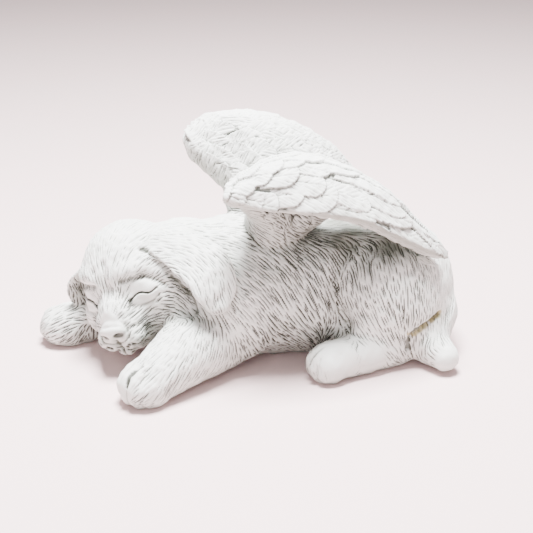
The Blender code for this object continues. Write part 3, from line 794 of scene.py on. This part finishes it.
def tool_strokes(points, lie, share, bladed, seed=11):
    """Evenly spaced strokes along the lie of the coat: sample places, directions and depths."""
    rng = np.random.default_rng(seed)
    tree = KDTree(len(points))
    for index, place in enumerate(points):
        tree.insert(place, index)
    tree.balance()
    taken = {}
    samples = []

    def cell_of(place):
        return tuple(int(v // CROWDING_CELL) for v in place)

    def crowded(place, gap, own):
        cell = cell_of(place)
        for i, j, k in product((-1, 0, 1), repeat=3):
            for other, stroke in taken.get((cell[0] + i, cell[1] + j, cell[2] + k), ()):
                if stroke != own and (other - place).length < gap:
                    return True
        return False

    for number, start in enumerate(rng.integers(0, len(points), STROKE_SEEDS)):
        reach = rng.uniform(*STROKE_LENGTH)
        strength = rng.uniform(*STROKE_STRENGTH)
        sway = rng.uniform(-STROKE_SWAY, STROKE_SWAY)
        if share[start] < BARE_SHARE:
            continue
        on_head = points[start, 1] < HEAD_BEFORE and points[start, 2] > HEAD_ABOVE
        gap = STROKE_GAP_HEAD if on_head else STROKE_GAP_FUR
        if bladed[start] > 0:
            gap = STROKE_GAP_WING
        place = Vector(points[start])
        if crowded(place, gap, number):
            continue
        path = []
        index = int(start)
        for pace in range(int(reach / STROKE_PACE)):
            if share[index] < STOP_SHARE or crowded(place, gap * CLOSING_IN, number):
                break
            way = Vector(lie[index])
            path.append((place.copy(), way))
            run = points[index] - points[start]
            bend = Vector(np.cross(np.array(way), run)) if pace else Vector()
            place = place + way * STROKE_PACE + bend * sway * SWAY_PACE
            near, index, _ = tree.find(place)
            place = place.lerp(near, SURFACE_PULL)
        if len(path) < FEWEST_SAMPLES:
            continue
        for pace, (spot, way) in enumerate(path):
            taken.setdefault(cell_of(spot), []).append((spot, number))
            arc = math.pi * (pace + TAPER_ENDS[0]) / (len(path) + TAPER_ENDS[1])
            taper = math.sin(arc) ** TAPER_POWER
            samples.append((*spot, *way, strength * taper))
    return np.array(samples)


def stroke_depth(points, strokes):
    """How deep the tooled strokes cut at each place, from 0 to about 1."""
    tree = KDTree(len(strokes))
    for index, sample in enumerate(strokes):
        tree.insert(sample[:3], index)
    tree.balance()
    found = [tree.find(place) for place in points]
    nearest = np.array([hit[1] for hit in found])
    gap = points - strokes[nearest, :3]
    along = (gap * strokes[nearest, 3:6]).sum(1)
    run = np.clip(along, -STROKE_PACE, STROKE_PACE)
    beside = np.sqrt(np.maximum((gap ** 2).sum(1) - run ** 2, 0))
    return strokes[nearest, 6] * np.exp(-(beside / STROKE_WIDTH) ** 2)


def fading(points, place, radius):
    """A share that is 1 at a place and fades out around it, over about a radius."""
    return np.exp(-((points - np.array(place)) ** 2).sum(axis=1) / radius ** 2)


def tooled_depth(points, bladed):
    """How hard the tool was pressed: hardest on the flank and the cheek, lightly on the crown."""
    depth = np.full(len(points), MIDDLING_PRESS)
    for places, change in ((DEEPER_STROKES, DEEPER_BY), (LIGHTER_STROKES, LIGHTER_BY)):
        reach = np.zeros(len(points))
        for place, radius in places:
            reach = np.maximum(reach, fading(points, place, radius))
        depth += change * reach
    on_blade = np.where(points[:, 0] > 0, STROKE_DEPTH_WING, STROKE_DEPTH_FAR_WING)
    return np.where(bladed > 0, on_blade, STROKE_DEPTH_FUR * depth)


points, normals = mesh_points(statue.data)
lie = coat_lie(points, normals, bladed, barbs)
coat = furred(points, normals)
strokes = tool_strokes(points, lie, coat, bladed)
tooled = tooled_depth(points, bladed) * coat * stroke_depth(points, strokes)
push(statue.data, points, normals, -tooled)

# The finished skin, with painted shade and a grey-green wash in every stroke, feather edge and
# fold, and painted shade under the wings and where little open sky is seen. It is one casting, kept
# as seven closed lengths that meet face to face, because its fine relief is too much for one mesh.
REST_MARGIN = 0.3
OPEN_SKY_LIGHTENING = 0.55
# Rays that find how open each place is to the sky; little open sky means more painted shade.
SKY_RAYS = 24
SKY_RAY_RANGE = 60
SKY_SAMPLE_PLACES = 9000
SKY_RAY_LIFT = 0.8
SKY_SPREAD_ROUNDS = 40
FINE_HOLLOW_ROUNDS = 8
FINE_HOLLOW_DARKENING = 3.0
DEEP_HOLLOW_ROUNDS = 60
DEEP_HOLLOW_DARKENING = 0.5
# Places under the wings, and the downward band below each wing's outer edge, that get painted
# shade.
SHELTERED = [((8, 44, 73), 13), ((20, 48, 72), 12), ((27, 40, 68), 12), ((22, 20, 76), 12),
             ((2, 28, 77), 12), ((40, 62, 67), 12), ((-20, 30, 72), 14), ((-24, 46, 66), 13)]
SHELTERED_FOLD_SHADE = 0.62
UNDERSIDE_SHADE = 0.85
UNDERSIDE_FACING = (-0.25, 0.3)
UNDERSIDE_ABOVE = (56, 66)
SKY_HIDDEN_SHADE = 0.9
BELOW_OUTER_EDGE = (0, 0, 4)
OUTER_EDGE_SHADE = (5.0, 1.0)
OUTER_EDGE_FACING = (-0.4, 0.1)
TAIL_SLIT_SHADE = (1.7, 1.0)
PARTINGS = {"head_and_far_paw": -56, "shoulders": -16, "flanks": 24, "haunches": 66}
WING_PARTING = 89
STONE_ROUGHNESS = 0.62
STONE_SHEEN = 0.35
GRAIN_STRENGTH = 0.22
GRAIN_DEPTH = 0.0004
RAW_STONE = (0.825, 0.84, 0.815, 1)
MOTTLED_STONE = (0.74, 0.75, 0.72, 1)
# Painted shade tints: grey under the wings, near black with a wash in folds and strokes, olive in
# the tail slit.
PAINTED_SHADE_TINT = (0.36, 0.37, 0.33, 1)
FOLD_SHADE_AND_WASH_TINT = (0.09, 0.095, 0.07, 1)
STROKE_SHADE_AND_WASH_TINT = (0.03, 0.033, 0.022, 1)
TAIL_SLIT_SHADE_TINT = (0.36, 0.31, 0.15, 1)


def neighbour_mean(values, edges, count):
    """Mean of each vertex's neighbours."""
    total = np.zeros((count, values.shape[1]))
    degree = np.bincount(edges.ravel(), minlength=count)
    for axis in range(values.shape[1]):
        total[:, axis] = np.bincount(edges[:, 0], values[edges[:, 1], axis], count)
        total[:, axis] += np.bincount(edges[:, 1], values[edges[:, 0], axis], count)
    return total / np.maximum(degree, 1)[:, None]


def hollows(item, points, normals, rounds):
    """How far each place lies below the mean surface around it."""
    mean = item.copy()
    mean.data = item.data.copy()
    bpy.context.collection.objects.link(mean)
    bpy.context.view_layer.objects.active = mean
    soften(mean, 1, rounds)
    places, _ = mesh_points(mean.data)
    bpy.data.objects.remove(mean)
    return ((places - points) * normals).sum(axis=1)


def sky_openness(item, points, normals, edges):
    """How open each place is to the sky, from rays cast upward: 1 on open upper sides, 0 under the
    wings.
    """
    faces = [tuple(face.vertices) for face in item.data.polygons]
    tree = BVHTree.FromPolygons([tuple(place) for place in points], faces)
    golden = math.pi * (3 - math.sqrt(5))
    ways = []
    for index in range(SKY_RAYS):
        height = 1 - (index + 0.5) / SKY_RAYS
        level = math.sqrt(1 - height * height)
        turn = golden * index
        ways.append(Vector((level * math.cos(turn), level * math.sin(turn), height)))
    seen = np.random.default_rng(3).permutation(len(points))[:SKY_SAMPLE_PLACES]
    near = KDTree(len(seen))
    reach = np.zeros(len(seen))
    for number, index in enumerate(seen):
        facing = Vector(normals[index])
        start = Vector(points[index]) + facing * SKY_RAY_LIFT
        for way in ways:
            share = way.dot(facing)
            if share > 0 and tree.ray_cast(start, way, SKY_RAY_RANGE)[0] is None:
                reach[number] += share * 2 / SKY_RAYS
        near.insert(points[index], number)
    near.balance()
    spread = np.array([reach[near.find(place)[1]] for place in points])
    for _ in range(SKY_SPREAD_ROUNDS):
        spread = neighbour_mean(spread[:, None], edges, len(points))[:, 0]
    return np.clip(spread, 0, 1)


def keep_share(mesh, name, values):
    """Write values from 0 to 1 to the mesh, one for each vertex."""
    layer = mesh.attributes.new(name, "FLOAT", "POINT")
    layer.data.foreach_set("value", np.clip(values, 0, 1).astype(np.float32))


points, normals = mesh_points(statue.data)
points[:, 2] = np.where(points[:, 2] < REST_MARGIN, 0, points[:, 2])
statue.data.vertices.foreach_set("co", (points * STEP).ravel())
statue.data.update()
edges = np.empty(len(statue.data.edges) * 2, np.int32)
statue.data.edges.foreach_get("vertices", edges)
edges = edges.reshape(-1, 2)
open_sky = sky_openness(statue, points, normals, edges)
# Painted shade is heavier where little open sky is seen.
sky_shade = 1 - OPEN_SKY_LIGHTENING * open_sky
fine_hollows = hollows(statue, points, normals, FINE_HOLLOW_ROUNDS)
deep_hollows = hollows(statue, points, normals, DEEP_HOLLOW_ROUNDS)
# Painted shade and wash in the tooled strokes, and painted shade in the cut eyes, nostrils, whisker
# dots and paw slit.
keep_share(statue.data, "stroke_shade_and_wash", np.maximum(tooled * sky_shade, cuts))
# Painted shade under the wings and on the downward band below each wing's outer edge.
wing_shade = np.zeros(len(points))
for place, radius in SHELTERED:
    wing_shade = np.maximum(wing_shade, fading(points, place, radius))
for side in (1, -1):
    below_edge = side_of(OUTER_RAIL[2:], side) - np.array(BELOW_OUTER_EDGE)
    shaded = groove(path_distance(points, below_edge), *OUTER_EDGE_SHADE)
    wing_shade = np.maximum(wing_shade, shaded * ramp(-normals[:, 2], *OUTER_EDGE_FACING))
# Painted shade and wash in hollows, heavier where little open sky is seen, with the painted shade
# under the wings.
folds = (fine_hollows * FINE_HOLLOW_DARKENING + deep_hollows * DEEP_HOLLOW_DARKENING) * sky_shade
keep_share(statue.data, "fold_shade_and_wash", np.maximum(folds, wing_shade * SHELTERED_FOLD_SHADE))
# Painted shade on faces turned down high on the statue and where little open sky is seen.
underside = ramp(-normals[:, 2], *UNDERSIDE_FACING) * ramp(points[:, 2], *UNDERSIDE_ABOVE)
sheltered = np.maximum(underside * UNDERSIDE_SHADE, wing_shade)
keep_share(statue.data, "painted_shade", np.maximum((1 - open_sky) * SKY_HIDDEN_SHADE, sheltered))
# Painted olive shade along the near tail slit.
slit_distance = path_distance(points, CREASES["near tail slit"][0][:3], snapped=True)
keep_share(statue.data, "tail_slit_shade", groove(slit_distance, *TAIL_SLIT_SHADE))
_, normals = mesh_points(statue.data)
facing = statue.data.attributes.new("facing", "FLOAT_VECTOR", "POINT")
facing.data.foreach_set("vector", normals.astype(np.float32).ravel())


def cut_off(piece, place, inward):
    """Cut a closed piece at a plane and close it again, keeping the side that inward points to."""
    pick(piece)
    bpy.ops.object.mode_set(mode="EDIT")
    bpy.ops.mesh.select_all(action="SELECT")
    bpy.ops.mesh.bisect(plane_co=Vector(place) * STEP, plane_no=-Vector(inward), use_fill=True,
                        clear_outer=True, clear_inner=False, threshold=1e-7)
    bpy.ops.object.mode_set(mode="OBJECT")


def parted(piece, place, way):
    """Part a closed piece at a plane in two closed pieces: one before it and one past it."""
    past = piece.copy()
    past.data = piece.data.copy()
    bpy.context.collection.objects.link(past)
    cut_off(piece, place, -Vector(way))
    cut_off(past, place, Vector(way))
    return piece, past


def shaded_whole(piece):
    """Shade a length of the casting as the whole was, so that no parting shows."""
    mesh = piece.data
    facing = np.empty(len(mesh.vertices) * 3, np.float32)
    mesh.attributes["facing"].data.foreach_get("vector", facing)
    facing = facing.reshape(-1, 3)
    facing /= np.maximum(np.linalg.norm(facing, axis=1, keepdims=True), 1e-6)
    mesh.attributes.remove(mesh.attributes["facing"])
    mesh.polygons.foreach_set("use_smooth", np.ones(len(mesh.polygons), bool))
    mesh.normals_split_custom_set_from_vertices(facing)


rest, both_wings = parted(statue, (0, 0, WING_PARTING), (0, 0, 1))
lengths = {}
lengths["far_wing"], lengths["near_wing"] = parted(both_wings, (0, 0, 0), (1, 0, 0))
for name, end in PARTINGS.items():
    lengths[name], rest = parted(rest, (0, end, 0), (0, 1, 0))
lengths["rump_and_tail"] = rest


def resin_stone():
    """Off-white resin stone: matt, faintly mottled, with painted shade and a grey-green wash in its
    hollows.
    """
    material = bpy.data.materials.new("off_white_resin_stone")
    material.use_nodes = True
    tree = material.node_tree
    shader = tree.nodes["Principled BSDF"]
    shader.inputs["Roughness"].default_value = STONE_ROUGHNESS
    shader.inputs["Specular IOR Level"].default_value = STONE_SHEEN
    place = tree.nodes.new("ShaderNodeTexCoord")

    def noise(scale, detail):
        node = tree.nodes.new("ShaderNodeTexNoise")
        node.inputs["Scale"].default_value = scale
        node.inputs["Detail"].default_value = detail
        tree.links.new(place.outputs["Object"], node.inputs["Vector"])
        return node.outputs["Fac"]

    def level(value, low, high, to_low, to_high):
        node = tree.nodes.new("ShaderNodeMapRange")
        ends = {"From Min": low, "From Max": high, "To Min": to_low, "To Max": to_high}
        for name, number in ends.items():
            node.inputs[name].default_value = number
        tree.links.new(value, node.inputs["Value"])
        return node.outputs["Result"]

    def share(name):
        node = tree.nodes.new("ShaderNodeAttribute")
        node.attribute_name = name
        return node.outputs["Fac"]

    def times(first, second):
        node = tree.nodes.new("ShaderNodeMath")
        node.operation = "MULTIPLY"
        tree.links.new(first, node.inputs[0])
        tree.links.new(second, node.inputs[1])
        return node.outputs[0]

    def tinted(under, tint, amount):
        node = tree.nodes.new("ShaderNodeMix")
        node.data_type = "RGBA"
        tree.links.new(amount, node.inputs["Factor"])
        if isinstance(under, tuple):
            node.inputs[6].default_value = under
        else:
            tree.links.new(under, node.inputs[6])
        node.inputs[7].default_value = tint
        return node.outputs[2]

    patchy = level(noise(160, 3), 0.3, 0.7, 0.78, 1.0)
    in_folds = times(level(share("fold_shade_and_wash"), 0.08, 0.7, 0, 0.85), patchy)
    in_strokes = times(level(share("stroke_shade_and_wash"), 0.16, 0.6, 0, 0.96), patchy)
    colour = tinted(RAW_STONE, MOTTLED_STONE, level(noise(90, 5), 0.4, 0.75, 0, 0.7))
    # Grey painted shade under the wings, on faces turned down and where little open sky is seen.
    colour = tinted(colour, PAINTED_SHADE_TINT, level(share("painted_shade"), 0.2, 0.85, 0, 0.85))
    # Near-black painted shade and wash in folds and hollows.
    colour = tinted(colour, FOLD_SHADE_AND_WASH_TINT, in_folds)
    # Near-black painted shade and wash in the strokes and cuts.
    colour = tinted(colour, STROKE_SHADE_AND_WASH_TINT, in_strokes)
    # Painted olive shade in the tail slit.
    colour = tinted(colour, TAIL_SLIT_SHADE_TINT, level(share("tail_slit_shade"), 0.25, 0.8, 0, 0.85))
    tree.links.new(colour, shader.inputs["Base Color"])
    grain = tree.nodes.new("ShaderNodeBump")
    grain.inputs["Strength"].default_value = GRAIN_STRENGTH
    grain.inputs["Distance"].default_value = GRAIN_DEPTH
    tree.links.new(noise(1400, 4), grain.inputs["Height"])
    tree.links.new(grain.outputs["Normal"], shader.inputs["Normal"])
    return material


stone = resin_stone()
for name, piece in lengths.items():
    piece.name = name
    shaded_whole(piece)
    piece.data.materials.clear()
    piece.data.materials.append(stone)
    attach(piece, "root")
    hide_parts("winged_puppy")

# Plain pale floor under the statue, wide enough to fill every view.
bpy.ops.mesh.primitive_plane_add(size=8, location=(0, 0, 0))
floor = bpy.context.object
floor.name = "pale_floor"
paint = bpy.data.materials.new("pale_floor_paint")
paint.use_nodes = True
paint.node_tree.nodes["Principled BSDF"].inputs["Base Color"].default_value = (0.85, 0.66, 0.66, 1)
paint.node_tree.nodes["Principled BSDF"].inputs["Roughness"].default_value = 0.9
floor.data.materials.append(paint)

# Soft studio light: a wide soft box overhead, a gentle fill from the camera's side and a pale room.
room = bpy.data.worlds.new("pale_room")
room.use_nodes = True
room.node_tree.nodes["Background"].inputs["Color"].default_value = (0.95, 0.93, 0.93, 1)
room.node_tree.nodes["Background"].inputs["Strength"].default_value = 0.4
bpy.context.scene.world = room


def soft_box(name, place, aim, size, power):
    """A square soft box that faces a point."""
    bpy.ops.object.light_add(type="AREA", location=place)
    lamp = bpy.context.object
    lamp.name = name
    lamp.data.size = size
    lamp.data.energy = power
    lamp.rotation_euler = (Vector(aim) - Vector(place)).to_track_quat("-Z", "Y").to_euler()


soft_box("overhead_box", (0.0, 0.0, 1.0), (0, 0, 0.04), 0.36, 76.0)
soft_box("front_fill", (0.9, -0.5, 0.5), (0, 0, 0.04), 0.9, 4.0)

# The camera, a little above the statue and turned to its left side.
CAMERA_AZIMUTH = math.radians(75)
CAMERA_ELEVATION = math.radians(22)
CAMERA_DISTANCE = 0.650
CAMERA_TARGET = Vector((0.0013, 0.0029, 0.0468))
SENSOR = 36
PHOTO_FOCAL_PIXELS = 1131
PHOTO_SIDE_PIXELS = 533
backward = Vector((math.sin(CAMERA_AZIMUTH) * math.cos(CAMERA_ELEVATION),
                   -math.cos(CAMERA_AZIMUTH) * math.cos(CAMERA_ELEVATION),
                   math.sin(CAMERA_ELEVATION)))
bpy.ops.object.camera_add(location=CAMERA_TARGET + backward * CAMERA_DISTANCE)
camera = bpy.context.object
camera.rotation_euler = (-backward).to_track_quat("-Z", "Y").to_euler()
camera.data.sensor_width = SENSOR
camera.data.lens = SENSOR * PHOTO_FOCAL_PIXELS / PHOTO_SIDE_PIXELS
bpy.context.scene.camera = camera
